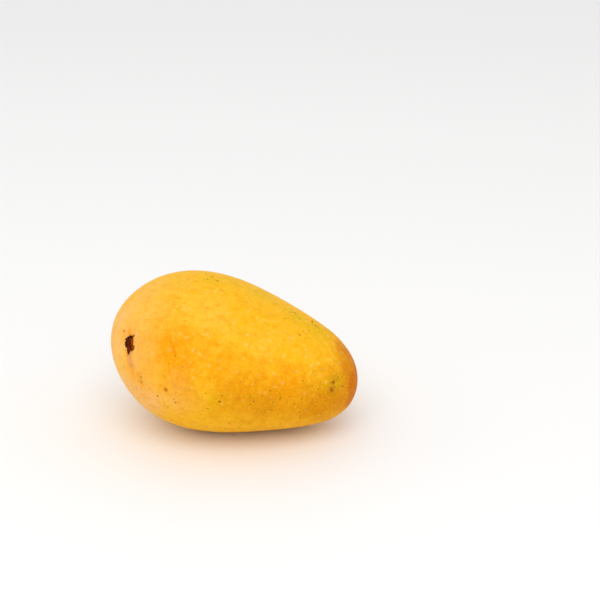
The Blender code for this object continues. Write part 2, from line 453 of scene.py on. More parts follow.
# Layers of round marks, lowest first: their softness and their strength.
SPOT_LAYERS = (
    ("rust", RUST_MARKS, 0.1, 0.75),
    ("rust", SCAR_MARKS, 0.5, 0.85),
    ("olive", OLIVE_MARKS, 0.35, 0.72),
    ("brown", BROWN_MARKS, 0.35, 0.85),
)
OLIVE_STREAK_SOFTNESS = 0.1

# The corky ring round the stub: where across it the ring widens, its widths, edge, reach and strength.
CORK_SIDES = (-0.001, 0.002)
CORK_WIDTHS = (0.0004, 0.0014)
CORK_EDGE = (1.0, 0.15)
CORK_REACH = (0.016, 0.012)
CORK_STRENGTH = 0.9

# What roughens the skin, what stands out or in on it, and how deep light goes in each of red, green and blue.
ROUGH_BY_MOTTLE = 0.12
ROUGH_BY_PORES = 0.10
ROUGH_BY_SCARS = 0.25
RELIEF_OF_GRAIN = 0.4
RELIEF_OF_MOTTLE = 0.5
RELIEF_OF_PORES = -0.25
RELIEF_OF_SCARS = -0.8
SKIN_BUMP = {"Strength": 0.12, "Distance": 0.0004}
GLOW_DEPTHS = (0.0030, 0.0012, 0.0003)

# The stub's wood: its noises, where it has flecks, where it is light, where its rim is dark, and where light
# shines through it.
LUMPS = (0.0009, 3.0, 0.6)
FIBRES = (0.00025, 3.0, 0.6)
FLECKS = (0.00060, 2.0, 0.5)
FLECKS_SHIFT = 4.1
FLECK_SHARE = (0.63, 0.70)
FLECK_STRENGTH = 0.80
LUMPS_SHARE = 0.65
FIBRES_SHARE = 0.35
LIGHT_WOOD = (0.38, 0.62)
DARK_RIM = (-0.0011, -0.0004)
DARK_SIDE = (0.0016, 0.0004)
DARK_RIM_STRENGTH = 0.8
NEAR_ACROSS = (0.0004, 0.0014)
NEAR_DOWN = (0.0008, -0.0004)
NEAR_RIM = (-0.0016, -0.0006)
NEAR_LEAST = 0.35
NEAR_BY_LUMPS = 0.9
WOOD_ROUGHNESS = 0.72
ROUGH_BY_FIBRES = 0.2
WOOD_BUMP = {"Strength": 0.6, "Distance": 0.0001}
WOOD_GLOSS = 0.06

# The studio. Each light has its name, its place, its width and its colour.
FLOOR_HALF_SIDE = 6.0
FLOOR_ROUGHNESS = 0.7
LIGHT_AIM = (0.0, 0.0, 0.03)
KEY_LIGHT = ("key_light", (0.0, -0.75, 1.0), 1.2, (1.0, 0.98, 0.95))
SIDE_LIGHT = ("side_light", (-1.10, 0.10, 0.50), 0.7, (1.0, 1.0, 1.0))
CLIP_START = 0.01
WHITE = (1.0, 1.0, 1.0)

# The room has the floor's colour at its horizon, and is white from this share of the way up.
SKY_BLEND = 0.12


class MangoForm(bpy.types.PropertyGroup):
    """Sizes of what is modelled on the skin."""

    cavity_depth: FloatProperty(
        name="Cavity depth", description="How deep the stalk sits", default=0.0021, unit="LENGTH"
    )
    beak_height: FloatProperty(
        name="Beak height", description="How far the beak stands out", default=0.0009, unit="LENGTH"
    )
    unevenness: FloatProperty(
        name="Unevenness", description="Height of the soft waves of the skin", default=0.00022, unit="LENGTH"
    )
    furrow_depth: FloatProperty(
        name="Furrow depth",
        description="Depth of the soft crease that runs down from the stalk",
        default=0.00045,
        unit="LENGTH",
    )
    fold_height: FloatProperty(
        name="Fold height",
        description="Height of the fold of skin on the near side of the stalk",
        default=0.00050,
        unit="LENGTH",
    )
    pucker: FloatProperty(
        name="Pucker", description="Height of the small folds round the stalk", default=0.00009, unit="LENGTH"
    )
    blister: FloatProperty(
        name="Blister", description="Height of the small blister", default=0.00030, unit="LENGTH"
    )


class MangoSkin(bpy.types.PropertyGroup):
    """Colours and finish of the skin."""

    gold: FloatVectorProperty(
        name="Gold", description="Ripe skin", subtype="COLOR", default=(0.90, 0.470, 0.012)
    )
    orange: FloatVectorProperty(
        name="Orange", description="Ripest skin", subtype="COLOR", default=(0.86, 0.325, 0.002)
    )
    # Flame paints the scratch, and painted shade in the cavity, beside the fold and in the furrow.
    flame: FloatVectorProperty(
        name="Flame", description="Scratches and creases", subtype="COLOR", default=(0.86, 0.265, 0.002)
    )
    # Amber paints both duller skin and painted shade low on the fruit.
    amber: FloatVectorProperty(
        name="Amber",
        description="Duller skin low on the tip end",
        subtype="COLOR",
        default=(0.66, 0.250, 0.001),
    )
    # Deep orange paints both a riper tip and painted shade along the tip end.
    deep: FloatVectorProperty(
        name="Deep orange", description="Skin at the very tip", subtype="COLOR", default=(0.55, 0.125, 0.0003)
    )
    # This colour paints the broad soft highlight on the upper side.
    pale: FloatVectorProperty(
        name="Pale", description="Palest skin", subtype="COLOR", default=(0.90, 0.505, 0.052)
    )
    straw: FloatVectorProperty(
        name="Straw", description="Lightest grain of the skin", subtype="COLOR", default=(0.90, 0.530, 0.008)
    )
    # Bloom colour, which also paints the sheen along the stalk end and the highlight streak beside the stalk.
    bloom: FloatVectorProperty(
        name="Bloom", description="Waxy bloom at the stalk end", subtype="COLOR", default=(0.90, 0.490, 0.145)
    )
    # Peach paints the skin round the stalk and the painted shade in its cavity.
    peach_and_shade: FloatVectorProperty(
        name="Peach", description="Skin round the stalk", subtype="COLOR", default=(0.88, 0.395, 0.078)
    )
    green: FloatVectorProperty(
        name="Green", description="Skin that stayed greener", subtype="COLOR", default=(0.72, 0.430, 0.004)
    )
    brown: FloatVectorProperty(
        name="Brown", description="Scars and specks", subtype="COLOR", default=(0.20, 0.040, 0.006)
    )
    rust: FloatVectorProperty(
        name="Rust", description="Healed scars", subtype="COLOR", default=(0.56, 0.165, 0.010)
    )
    tan: FloatVectorProperty(
        name="Tan", description="Corky skin under the stalk", subtype="COLOR", default=(0.72, 0.32, 0.085)
    )
    cork: FloatVectorProperty(
        name="Cork", description="Ring round the stalk", subtype="COLOR", default=(0.56, 0.175, 0.004)
    )
    grey: FloatVectorProperty(
        name="Grey pores", description="A few greyish pores", subtype="COLOR", default=(0.52, 0.39, 0.14)
    )
    olive: FloatVectorProperty(
        name="Olive", description="Dark dots", subtype="COLOR", default=(0.22, 0.13, 0.006)
    )
    dots: FloatVectorProperty(
        name="Pale dots", description="Pores of the skin", subtype="COLOR", default=(0.95, 0.59, 0.18)
    )
    roughness: FloatProperty(
        name="Roughness", description="Of the waxy skin", default=0.46, min=0.0, max=1.0
    )
    gloss: FloatProperty(name="Gloss", description="Of the waxy skin", default=0.03, min=0.0, max=1.0)
    glow: FloatProperty(
        name="Glow", description="How much light spreads under the skin", default=0.22, min=0.0, max=1.0
    )


class MangoStub(bpy.types.PropertyGroup):
    """The broken end of the stalk."""

    radius: FloatProperty(name="Radius", description="Of the stub", default=0.00275, unit="LENGTH")
    stands_proud: FloatProperty(
        name="Stands proud", description="Above the cavity's floor", default=0.0010, unit="LENGTH"
    )
    dark: FloatVectorProperty(
        name="Dark wood", description="Pits of the stub", subtype="COLOR", default=(0.020, 0.0010, 0.0003)
    )
    light: FloatVectorProperty(
        name="Light wood", description="Ridges of the stub", subtype="COLOR", default=(0.25, 0.036, 0.004)
    )
    fleck: FloatVectorProperty(
        name="Flecks", description="Bleached fibre ends", subtype="COLOR", default=(0.50, 0.30, 0.17)
    )
    near: FloatVectorProperty(
        name="Near side",
        description="Thin wood that light shines through",
        subtype="COLOR",
        default=(0.42, 0.085, 0.003),
    )
    rows: IntProperty(name="Rows", description="Rings of faces across the top", default=30, min=6)
    splinters: IntProperty(name="Splinters", description="Torn fibre ends", default=56, min=0)
    seed: IntProperty(name="Seed", description="Another number places the fibres another way", default=5)
    voxel: FloatProperty(
        name="Voxel", description="Finest detail of the broken wood", default=0.000095, unit="LENGTH"
    )


class MangoStage(bpy.types.PropertyGroup):
    """The camera, the floor and the light."""

    azimuth: FloatProperty(
        name="Azimuth", description="Of the camera", default=math.radians(4.0), subtype="ANGLE"
    )
    elevation: FloatProperty(
        name="Elevation", description="Of the camera", default=math.radians(22.0), subtype="ANGLE"
    )
    distance: FloatProperty(
        name="Distance", description="From the camera to what it aims at", default=0.600, unit="LENGTH"
    )
    lens: FloatProperty(name="Lens", description="Focal length in millimetres", default=85.0)
    aim: FloatVectorProperty(
        name="Aim", description="What the camera aims at", subtype="XYZ", default=(0.0272, 0.0092, 0.0524)
    )
    key_power: FloatProperty(name="Key power", description="Of the large soft light, in watts", default=6.0)
    fill_power: FloatProperty(name="Fill power", description="Of the front light, in watts", default=0.5)
    ambient: FloatProperty(name="Ambient", description="Brightness of the room", default=0.86)
    floor: FloatVectorProperty(
        name="Floor", description="Colour of the floor", subtype="COLOR", default=(0.90, 0.90, 0.90)
    )


class Wire:
    """One output of a shader node. Python's operators on it add Math nodes, or Vector Math nodes."""

    def __init__(self, tree, socket=None):
        self.tree = tree
        self.socket = socket

    def node(self, kind, settings=None, inputs=None, output=0):
        """Adds a node: its settings first, then the values or wires of its inputs."""
        made = self.tree.nodes.new(kind)
        for name, value in (settings or {}).items():
            setattr(made, name, value)
        for name, value in (inputs or {}).items():
            if isinstance(value, Wire):
                self.tree.links.new(value.socket, made.inputs[name])
            else:
                made.inputs[name].default_value = value
        return Wire(self.tree, made.outputs[output])

    def is_vector(self):
        return self.socket.type in ("VECTOR", "RGBA")

    def maths(self, operation, *terms):
        kind = "ShaderNodeVectorMath" if self.is_vector() else "ShaderNodeMath"
        return self.node(kind, {"operation": operation}, dict(enumerate((self, *terms))))

    def flipped(self, operation, first):
        return self.node("ShaderNodeMath", {"operation": operation}, {0: first, 1: self})

    def __add__(self, other):
        return self.maths("ADD", other)

    def __radd__(self, other):
        return self.maths("ADD", other)

    def __sub__(self, other):
        return self.maths("SUBTRACT", other)

    def __rsub__(self, other):
        return self.flipped("SUBTRACT", other)

    def __mul__(self, other):
        if self.is_vector() and not isinstance(other, (Wire, tuple)):
            return self.node("ShaderNodeVectorMath", {"operation": "SCALE"}, {0: self, "Scale": other})
        return self.maths("MULTIPLY", other)

    def __rmul__(self, other):
        return self * other

    def __truediv__(self, other):
        return self.maths("DIVIDE", other)

    def __rtruediv__(self, other):
        return self.flipped("DIVIDE", other)

    def __neg__(self):
        return self * -1.0

    def __pow__(self, other):
        return self.maths("POWER", other)

    def __rpow__(self, other):
        return self.flipped("POWER", other)

    def max(self, other):
        return self.maths("MAXIMUM", other)

    def clamped(self):
        return self.node("ShaderNodeClamp", None, {"Value": self})

    def to(self, point):
        """Distance from this point of space to another."""
        return self.node("ShaderNodeVectorMath", {"operation": "DISTANCE"}, {0: self, 1: point}, "Value")

    def dot(self, vector):
        """How far this point of space is along a direction."""
        return self.node("ShaderNodeVectorMath", {"operation": "DOT_PRODUCT"}, {0: self, 1: vector}, "Value")

    def times(self, vector):
        """This value scales a fixed vector."""
        return self.node("ShaderNodeVectorMath", {"operation": "SCALE"}, {0: vector, "Scale": self})

    def exp(self):
        return self.maths("EXPONENT")

    def ramp(self, start, end):
        """0 at the start and 1 at the end, with soft ends. The start may be the larger."""
        settings = {"interpolation_type": "SMOOTHSTEP"}
        falls = start > end
        low, high = sorted((start, end))
        inputs = {0: self, 1: low, 2: high, 3: 1.0 if falls else 0.0, 4: 0.0 if falls else 1.0}
        return self.node("ShaderNodeMapRange", settings, inputs)

    def between(self, low, high):
        """The first number where this value is 0, and the second where it is 1."""
        return self * (high - low) + low

    def mix(self, low, high):
        """This value blends two colours."""
        settings = {"data_type": "RGBA", "clamp_factor": True}
        return self.node("ShaderNodeMix", settings, {0: self, 6: low, 7: high}, 2)

    def noise(self, size, detail, roughness=0.5, output="Factor", offset=0.0):
        """Noise with features of this size in metres, from 0 to 1."""
        place = self + (offset, offset, offset) if offset else self
        inputs = {"Vector": place, "Scale": 1 / size, "Detail": detail, "Roughness": roughness}
        names = {"Factor": 0, "Color": 1}
        return self.node("ShaderNodeTexNoise", {"noise_dimensions": "3D"}, inputs, names[output])


def rgba(colour):
    return (*colour, 1.0)


def unit(vectors):
    return vectors / np.linalg.norm(vectors, axis=-1, keepdims=True)


def fruit_form(directions):
    """Points of the fruit's plain form, for directions from its middle: rows of along, back, up."""
    along, back, up = np.moveaxis(unit(directions), -1, 0)
    width = HALF_WIDTH * (1 + WIDTH_SLOPE * along + WIDTH_CURVE * along**2)
    thickness = HALF_THICKNESS * (
        1 + THICKNESS_SLOPE * along + THICKNESS_CURVE * along**2 + THICKNESS_TURN * along**3
    )
    y = back * width
    z = up * thickness * (1 + CHEEK_FULLNESS * up)
    lean = STALK_END_LEAN * ((1 - along) / 2) ** 2 + TIP_LEAN * ((1 + along) / 2) ** 2
    x = along * LENGTH / 2 + y * lean
    return np.stack((x, y - BEND * (along**2 - 1 / 3), z + SAG * (along**3 - SAG_LEVEL * along)), -1)


def form_slope(directions, tangents):
    turn = 1e-4
    return (fruit_form(directions + tangents * turn) - fruit_form(directions - tangents * turn)) / (2 * turn)


def tangents_of(directions):
    """Two directions at right angles: the first as near as it can be to straight down."""
    ahead = unit(directions)
    down = unit(np.array((0.0, 0.0, -1.0)) + ahead * ahead[..., 2:3])
    return down, np.cross(ahead, down)


def form_normals(directions):
    down, across = tangents_of(directions)
    return unit(np.cross(form_slope(directions, down), form_slope(directions, across)))


def falloff(distance, radius):
    return np.exp(-((distance / radius) ** 2))


def blunt_falloff(distance, radius):
    return np.exp(-((distance / radius) ** 4))


def soft_step(values, start, end):
    share = np.clip((values - start) / (end - start), 0, 1)
    return share * share * (3 - 2 * share)


STALK_AHEAD = unit(STALK_DIRECTION)
STALK_POINT = fruit_form(STALK_AHEAD)
STALK_NORMAL = form_normals(STALK_AHEAD)
BEAK_POINT = fruit_form(BEAK_DIRECTION)
SINUS_POINT = fruit_form(SINUS_DIRECTION)


def stalk_axes():
    """Rows: down the fruit, across it, and out along the stalk."""
    down = form_slope(STALK_AHEAD, tangents_of(STALK_AHEAD)[0])
    x_axis = unit(down - STALK_NORMAL * (down @ STALK_NORMAL))
    return np.array((x_axis, np.cross(STALK_NORMAL, x_axis), STALK_NORMAL))


STALK_AXES = stalk_axes()
TILT = np.array(Matrix.Rotation(REST_TILT, 3, "Y"))


def gentle_noise(points, size, seed):
    """Smooth noise from -1 to 1, with features of this size in the unit that the points are in."""
    shift = Vector([seed * step for step in SEED_STEPS])
    return np.array([noise.noise(Vector(p) / size + shift) for p in points])


def seen_from(stage):
    """The camera's place and its right, up and back directions."""
    turn = Matrix.Rotation(stage.azimuth, 3, "Z") @ Matrix.Rotation(math.pi / 2 - stage.elevation, 3, "X")
    place = Vector(stage.aim) + turn.col[2] * stage.distance
    return place, turn


def ray_through(pixel, stage):
    """Where the camera is, and which way a pixel of the photograph looks from it."""
    place, turn = seen_from(stage)
    per_pixel = SENSOR_WIDTH / PHOTO_SIDE / stage.lens
    across = (pixel[0] - PHOTO_SIDE / 2) * per_pixel
    up = (PHOTO_SIDE / 2 - pixel[1]) * per_pixel
    return place, (turn @ Vector((across, up, -1))).normalized()


def stub_outline(angles, radius):
    """The stub's radius at angles round the stalk, 0 pointing down the fruit."""
    outline = radius + STUB_FULLNESS * np.cos(angles - STUB_FULL_SIDE)
    for middle, spread, length in STUB_TEARS:
        outline += length * blunt_falloff(np.angle(np.exp(1j * (angles - middle))), spread)
    return outline


def ring_distances(start):
    distance = start
    step = FINE_STEP
    while distance < SKIN_PER_RADIAN * math.pi - COARSE_STEP * LAST_GAP:
        yield distance
        if distance > FINE_REACH:
            step = min(step * STEP_GROWTH, COARSE_STEP)
        distance += step


def ring_directions(distance, radius, follow_outline):
    """Directions to the points of the ring at this distance over the skin."""
    turns = np.arange(SIDES) * math.tau / SIDES
    down, across = tangents_of(STALK_AHEAD)
    sideways = np.outer(np.cos(turns), down) + np.outer(np.sin(turns), across)
    slope = np.outer(np.cos(turns), form_slope(STALK_AHEAD, down))
    slope += np.outer(np.sin(turns), form_slope(STALK_AHEAD, across))
    round_ring = distance / np.linalg.norm(slope, axis=1)
    even_ring = np.full(SIDES, distance / SKIN_PER_RADIAN)
    reach = round_ring + (even_ring - round_ring) * soft_step(distance, 0, ROUND_RING_REACH)
    near = 1 - soft_step(distance, *TRUE_RING_REACH)
    if near > 0:
        true_reach = reach.copy()
        for _ in range(RING_FITS):
            ahead = np.outer(np.cos(true_reach), STALK_AHEAD) + sideways * np.sin(true_reach)[:, None]
            place = (fruit_form(ahead) - STALK_POINT) @ STALK_AXES.T
            outside = stub_outline(np.arctan2(place[:, 1], place[:, 0]), radius) - radius
            true_reach *= (distance + outside * follow_outline) / np.hypot(place[:, 0], place[:, 1])
        reach += (true_reach - reach) * near
    return np.outer(np.cos(reach), STALK_AHEAD) + sideways * np.sin(reach)[:, None]


def grid_faces(rows, columns):
    """Quads between rings of points, each ring closed."""
    row, column = np.meshgrid(np.arange(rows - 1), np.arange(columns), indexing="ij")
    after = (column + 1) % columns
    here = row * columns
    corners = (here + column, here + columns + column, here + columns + after, here + after)
    return np.stack(corners, -1).reshape(-1, 4)


def fan_faces(first, columns, centre, outward):
    turn = np.arange(columns)
    after = (turn + 1) % columns
    ends = (turn, after) if outward else (after, turn)
    return np.stack((np.full(columns, centre), first + ends[0], first + ends[1]), -1)


def mesh_object(name, points, faces):
    mesh = bpy.data.meshes.new(name)
    mesh.from_pydata(np.asarray(points).tolist(), [], faces)
    mesh.shade_smooth()
    made = bpy.data.objects.new(name, mesh)
    bpy.context.scene.collection.objects.link(made)
    return made


def to_rest(points, shift):
    """From the fruit's own axes to the pose that it rests in."""
    return points @ TILT.T + shift


def resting_shift(points):
    """Brings the middle of the fruit over the origin and its flat spot onto the floor."""
    turned = points @ TILT.T
    low = turned.min(0)
    high = turned.max(0)
    return np.array((-(low[0] + high[0]) / 2, -(low[1] + high[1]) / 2, -low[2] - FLAT_SPOT_CUT))


def marked_form(directions, form):
    """The form with its cavity, shoulders, beak and sinus, its points, and its normals."""
    plain = fruit_form(directions)
    normals = form_normals(directions)
    from_stalk = np.linalg.norm(plain - STALK_POINT, axis=1)
    from_beak = np.linalg.norm(plain - BEAK_POINT, axis=1)
    from_sinus = np.linalg.norm(plain - SINUS_POINT, axis=1)
    height = SHOULDER_HEIGHT * falloff(from_stalk - SHOULDER_RADIUS, SHOULDER_SPREAD)
    height += form.beak_height * falloff(from_beak, BEAK_RADIUS)
    height -= BEAK_DIMPLE_DEPTH * falloff(from_beak, BEAK_DIMPLE_RADIUS)
    height -= SINUS_DEPTH * falloff(from_sinus, SINUS_RADIUS)
    sunk = form.cavity_depth * falloff(from_stalk, CAVITY_RADIUS)
    return plain + normals * height[:, None] - STALK_NORMAL * sunk[:, None], normals


def along_line(points, start, end):
    """How far points are from a line, and how far along it their nearest place is, from 0 to 1."""
    run = end - start
    share = np.clip(((points - start) @ run) / (run @ run), 0, 1)
    return np.linalg.norm(points - start - share[:, None] * run, axis=1), share


def find_on(tree, pixel, stage):
    place, ahead = ray_through(pixel, stage)
    hit = tree.ray_cast(place, ahead)[0]
    if hit is None:
        raise RuntimeError(f"no skin under pixel {pixel}")
    return hit


def beside_line(points, start, end, outward):
    """Signed distance of points from a line over the skin, and the share of it that they are at."""
    run = end - start
    side = unit(np.cross(run, outward))
    share = ((points - start) @ run) / (run @ run)
    return (points - start) @ side, share


class MANGO_OT_skin(bpy.types.Operator):
    """Adds the skin of the fruit, with its cavity, beak, furrow, scratch and blister"""

    bl_idname = "mango.skin"
    bl_label = "Add mango skin"

    def execute(self, context):
        form = context.scene.mango_form
        stub = context.scene.mango_stub
        stage = context.scene.mango_stage
        directions, sunk, ring_count = skin_rings(stub.radius)
        points, normals = marked_form(directions, form)
        shift = resting_shift(points)
        rest = to_rest(points - STALK_NORMAL * sunk[:, None], shift)
        faces = [face.tolist() for face in grid_faces(ring_count, SIDES)]
        tree = BVHTree.FromPolygons(rest.tolist(), faces)

        def at(pixel):
            return find_on(tree, pixel, stage)

        height = skin_relief(rest, shift, form, at)
        rest = rest + (normals @ TILT.T) * (height * (sunk == 0))[:, None]
        rest[:, 2] = np.maximum(rest[:, 2], 0.0)
        first_of_last_ring = (ring_count - 1) * SIDES
        socket_centre = len(rest)
        rest = np.concatenate((rest, [rest[:SIDES].mean(0)]))
        faces += [face.tolist() for face in fan_faces(first_of_last_ring, SIDES, socket_centre - 1, False)]
        faces += [face.tolist() for face in fan_faces(0, SIDES, socket_centre, True)]
        skin = mesh_object("mango_skin", rest, faces)
        material = skin_material(context.scene.mango_skin, at, stalk_place(shift), stub.radius)
        skin.data.materials.append(material)
        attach(skin, "root")
        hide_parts("mango_fruit")
        return {"FINISHED"}


def skin_rings(stub_radius):
    """Directions to the rings of the skin, from the socket to the far side, their depths, and how many."""
    rings = [ring_directions(stub_radius + out, stub_radius, 1.0) for out, _ in LIP]
    depths = [depth for _, depth in LIP]
    for number, distance in enumerate(ring_distances(stub_radius + LIP[-1][0] + FINE_STEP)):
        rings.append(ring_directions(distance, stub_radius, max(1 - number / OUTLINE_RINGS, 0.0)))
        depths.append(0.0)
    sunk = np.repeat(np.array(depths), SIDES)
    return np.concatenate([*rings, [-STALK_AHEAD]]), np.append(sunk, 0.0), len(rings)


def stalk_place(shift):
    return to_rest(STALK_POINT, shift), STALK_AXES @ TILT.T


def skin_relief(rest, shift, form, at):
    """Heights of what is modelled on the marked form: waves, folds, furrow, scratch and blister."""
    stalk, axes = stalk_place(shift)
    height = np.zeros(len(rest))
    for seed, (size, share) in enumerate(WAVES, 1):
        height += form.unevenness * share * gentle_noise(rest, size, seed)

    off_stalk = rest - stalk
    from_stalk = np.linalg.norm(off_stalk, axis=1)
    angles = np.arctan2(off_stalk @ axes[1], off_stalk @ axes[0])
    folds = np.sin(PUCKERS * angles + PUCKER_WANDER * np.sin(PUCKER_WANDERS * angles))
    folds += FINE_PUCKER_SHARE * np.sin(FINE_PUCKERS * angles + FINE_PUCKER_TURN)
    near = soft_step(from_stalk, *PUCKER_RISE) * (1 - soft_step(from_stalk, *PUCKER_FADE))
    height += form.pucker * folds * near

    beside, share = beside_line(rest, np.array(at(FOLD_TOP)), np.array(at(FOLD_END)), axes[2])
    beside = beside + FOLD_SWAY * np.sin(share * FOLD_SWAY_TURN)
    ends = soft_step(share, *FOLD_START) * (1 - soft_step(share, *FOLD_STOP))
    ridge = soft_step(beside, *FOLD_STEEP_SIDE) * (1 - soft_step(beside, *FOLD_SOFT_SIDE))
    height += form.fold_height * ridge * ends * (from_stalk < FOLD_REACH)

    off_furrow, share = along_line(rest, stalk, np.array(at(FURROW_END)))
    furrow = falloff(off_furrow, FURROW_RADIUS) * soft_step(share, *FURROW_START)
    height -= form.furrow_depth * (furrow * (1 - soft_step(share, *FURROW_STOP)))

    off_scratch, share = along_line(rest, np.array(at(SCRATCH_TOP)), np.array(at(SCRATCH_END)))
    deep = SCRATCH_AT_ENDS + SCRATCH_IN_MIDDLE * np.sin(math.pi * share)
    height -= SCRATCH_DEPTH * falloff(off_scratch, SCRATCH_RADIUS) * deep
    off_blister = np.linalg.norm(rest - np.array(at(BLISTER)), axis=1)
    return height + form.blister * falloff(off_blister, BLISTER_RADIUS)


def spots(place, marks, soft):
    """1 in the middle of each of these round marks, falling to 0 at its edge."""
    found = None
    for centre, radius in marks:
        mark = place.to(centre).ramp(radius, radius * soft)
        found = mark if found is None else found.max(mark)
    return found


def zones(place, marks):
    """Broad soft patches, each with its own strength, added up."""
    found = 0.0
    for centre, radius, strength in marks:
        found = place.to(centre).ramp(radius, 0.0) * strength + found
    return found


def streaks(place, lines, soft):
    """1 along the middle of each of these lines over the skin, falling to 0 at its edge."""
    found = None
    for start, end, width, strength in lines:
        run = end - start
        share = ((place - tuple(start)).dot(tuple(run)) / run.length_squared).clamped()
        away = (place - tuple(start) - share.times(tuple(run))).to((0.0, 0.0, 0.0))
        streak = away.ramp(width, width * soft) * strength
        found = streak if found is None else found.max(streak)
    return found


def outside_stub(place, stalk, radius):
    """How far a point is outside the stub's outline, and how far across and down, seen along the stalk."""
    centre, axes = stalk
    away = place - tuple(centre)
    down = away.dot(tuple(axes[0]))
    across = away.dot(tuple(axes[1]))
    angle = across.maths("ARCTAN2", down)
    outline = (angle - STUB_FULL_SIDE).maths("COSINE") * STUB_FULLNESS + radius
    for middle, spread, length in STUB_TEARS:
        turned = (angle - middle).maths("WRAP", math.pi, -math.pi) / spread
        outline = outline + (-(turned * turned * turned * turned)).exp() * length
    return (down * down + across * across) ** 0.5 - outline, across, down


class SkinGround:
    """What the layers of the skin's colour share: places, noises, and where its marks are."""

    def __init__(self, tree, at, stalk):
        self.at = at
        self.stalk = stalk
        self.place = Wire(tree).node("ShaderNodeTexCoord", output="Object")
        self.rough_place = self.wandering(*ROUGH_EDGE)
        self.wide_place = self.wandering(*WIDE_EDGE)
        self.clouds = self.place.noise(*CLOUDS)
        self.patchy = self.place.noise(*PATCHES, offset=PATCHES_SHIFT)
        self.mottle = self.place.noise(*MOTTLE)
        self.grain = self.place.noise(*GRAIN)
        self.from_stalk = self.wide_place.to(tuple(stalk[0]))

    def wandering(self, size, detail, reach):
        """Places that noise has moved about, for uneven edges."""
        moves = self.place.noise(size, detail, output="Color") - (MIDDLE, MIDDLE, MIDDLE)
        return self.place + moves * reach

    def along(self, axis):
        return self.place.node("ShaderNodeSeparateXYZ", None, {"Vector": self.place}, axis)

    def zones(self, listed):
        patches = [(tuple(self.at(spot)), size / TO_MM, power) for spot, size, power in listed]
        return zones(self.wide_place, patches)

    def spots(self, listed, soft):
        marks = [(tuple(self.at(spot)), size / TO_MM) for spot, size in listed]
        return spots(self.rough_place, marks, soft)

    def streaks(self, listed, soft):
        at = self.at
        lines = [(at(start), at(end), width / TO_MM, power) for start, end, width, power in listed]
        return streaks(self.rough_place, lines, soft)

    def pores(self, cell, radius, kinds, soft):
        """Round pores, one in each cell that is chosen. The radius is a share of the cell's size."""
        cells = {"Vector": self.rough_place, "Scale": 1 / cell, "Randomness": 1.0}
        away = self.place.node("ShaderNodeTexVoronoi", {"feature": "F1"}, cells, "Distance")
        kind = self.place.node("ShaderNodeTexVoronoi", {"feature": "F1"}, cells, "Color")
        strength = self.place.node("ShaderNodeSeparateColor", None, {"Color": kind}, "Red")
        return away.ramp(radius, radius * soft) * strength.ramp(*kinds)


def laid_over(colour, layers):
    """A colour with others over it, lowest first, each with the share that it covers."""
    for share, over in layers:
        colour = share.mix(colour, rgba(over))
    return colour


def ripened(ground, skin):
    """Gold skin with bloom and painted sheen, painted highlight and shade, riper and greener zones. The
    second value is where it is greener.
    """
    noises = [wire - MIDDLE for wire in (ground.clouds, ground.patchy, ground.mottle)]
    clouds, patchy, _ = noises
    back = ground.along("Y").ramp(*BACK_SIDE)
    broad = ground.place.noise(*BROAD_PATCHES, offset=BROAD_SHIFT)
    # Bloom with painted sheen round the stalk end, painted cavity shade round the stalk, and painted shade at
    # the tip.
    elsewhere = {
        "bloom": ground.from_stalk.ramp(*BLOOM_AND_SHEEN_REACH) * BLOOM_AND_SHEEN_STRENGTH,
        "orange": broad.ramp(*BACK_ORANGE) * back * BACK_ORANGE_STRENGTH,
        "deep": ground.along("X").ramp(*RIPE_TIP_AND_SHADE_REACH) * RIPE_TIP_AND_SHADE_STRENGTH,
        "peach_and_shade": ground.from_stalk.ramp(*PEACH_AND_SHADE_REACH) * PEACH_AND_SHADE_STRENGTH,
    }
    layers = []
    for name, listed, strengthened, added in ZONE_LAYERS:
        layer = ground.zones(listed)
        if name in elsewhere:
            layer = layer + elsewhere[name]
        if strengthened:
            layer = layer + clouds * layer * strengthened
        for wire, share in zip(noises, added):
            if share:
                layer = layer + wire * share
        layers.append((layer, getattr(skin, name)))
    greener = ground.zones(GREEN_ZONES) + broad.ramp(*BACK_GREEN) * back * BACK_GREEN_STRENGTH
    green = greener * (ground.mottle * GREEN_MOTTLE + patchy * GREEN_PATCHES)
    return laid_over(rgba(skin.gold), [*layers, (green, skin.green)]), greener


def pored(ground, skin, colour, greener):
    """Adds fine grain and pale, grey and dark pores. The second value is where the pale ones are."""
    upper = (ground.along("Z") + ground.clouds * UPPER_WAVER).ramp(*UPPER_SIDE).between(LEAST_BELOW, 1.0)
    off_stalk = ground.from_stalk.ramp(*OFF_STALK).between(LEAST_AT_ENDS, 1.0)
    off_tip = ground.along("X").ramp(*OFF_TIP).between(LEAST_AT_ENDS, 1.0)
    open_side = upper * off_stalk * off_tip
    dark_side = greener * DARK_SHARE + ground.along("Z").ramp(*LOWER_SIDE) * DARK_SHARE
    pale_pores = ground.pores(*PALE_PORES) * open_side
    layers = (
        (ground.grain.ramp(*RIPE_GRAIN) * GRAIN_STRENGTH, skin.orange),
        (ground.grain.ramp(*LIGHT_GRAIN) * GRAIN_STRENGTH, skin.straw),
        (pale_pores * PALE_STRENGTH, skin.dots),
        (ground.pores(*FINE_PORES) * open_side * FINE_STRENGTH, skin.dots),
        (ground.pores(*GREY_PORES) * GREY_STRENGTH, skin.grey),
        (ground.pores(*DARK_PORES) * dark_side.clamped() * DARK_STRENGTH, skin.olive),
    )
    return laid_over(colour, layers), pale_pores


